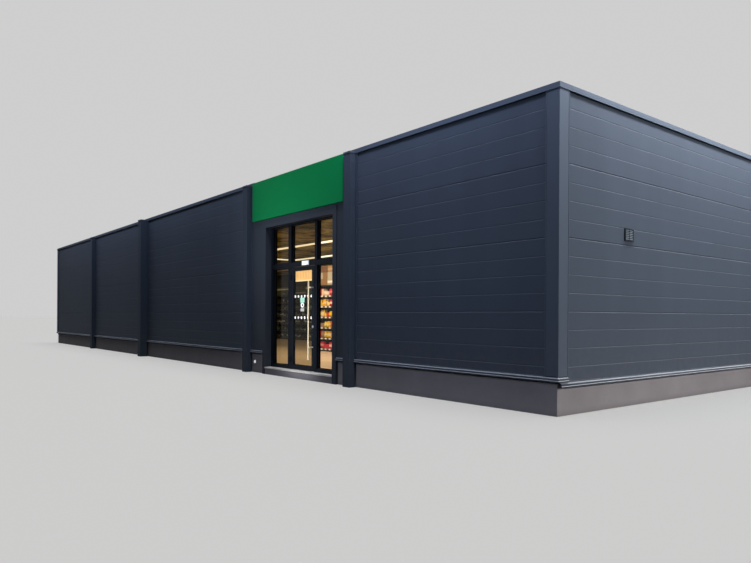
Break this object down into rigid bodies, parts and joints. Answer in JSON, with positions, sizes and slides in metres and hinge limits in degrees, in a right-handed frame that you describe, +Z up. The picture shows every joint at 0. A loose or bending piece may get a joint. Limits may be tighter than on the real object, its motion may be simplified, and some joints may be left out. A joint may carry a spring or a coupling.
{
  "type": "supermarket building",
  "caption": "Single-storey supermarket: dark panel walls on a plinth, flat roof behind a coping, blank green sign box over a recessed glass front with a hinged door.",
  "frame": {"origin": "on the ground under the middle of the building", "axes": "+Z up; the front with the entrance faces -Y; +X to the right seen from the front"},
  "size_m": [28.09, 10.504, 4.465],
  "materials": {
    "floor": "tiled",
    "plinth": "rendered",
    "wall_panel": "satin",
    "flashing": "satin",
    "pilaster": "satin",
    "roof": "matte",
    "ceiling": "matte",
    "ceiling_light": "lit",
    "portal": "satin",
    "sign": "satin",
    "sill": "tiled",
    "storefront": "satin",
    "glass": "clear",
    "handle": "satin",
    "lamp_housing": "gloss",
    "header": "satin",
    "vent": "satin",
    "rack": "satin",
    "goods": "printed"
  },
  "bodies": {
    "building": {"floor_slab": "floor", "door_step": "plinth", "front_plinth": "plinth", "right_plinth": "plinth", "back_plinth": "plinth", "left_plinth": "plinth", "front_wall_right": "wall_panel", "front_wall_over_door": "wall_panel", "front_wall_left": "wall_panel", "right_wall": "wall_panel", "back_wall": "wall_panel", "left_wall": "wall_panel", "front_drip_flashing": "flashing", "right_drip_flashing": "flashing", "back_drip_flashing": "flashing", "left_drip_flashing": "flashing", "corner_flashings": "flashing", "pilaster_1": "pilaster", "pilaster_2": "pilaster", "pilaster_3": "pilaster", "pilaster_4": "pilaster", "back_pilasters": "pilaster", "front_coping": "flashing", "right_coping": "flashing", "back_coping": "flashing", "left_coping": "flashing", "roof_deck": "roof", "ceiling": "ceiling", "ceiling_lights": "ceiling_light", "portal_frame": "portal", "portal_side_sheets": "portal", "sign_box": "sign", "door_sill": "sill", "storefront_frame": "storefront", "storefront_glass": "glass", "door_hinges": "storefront", "over_door_lamp": "lamp_housing", "header_box": "header", "plinth_lamp": "lamp_housing", "wall_vent": "vent", "shelf_racks": "rack", "shelf_goods": "goods"},
    "door": {"door_leaf": "storefront", "door_glass": "glass", "pull_handle": "handle", "door_lock": "handle"}
  },
  "joints": [
    {"name": "door_swing", "type": "hinge", "parent": "building", "child": "door", "pos_m": [6.991, -4.882, 1.2], "axis": [0, 0, -1], "range_deg": [0, 90]}
  ]
}
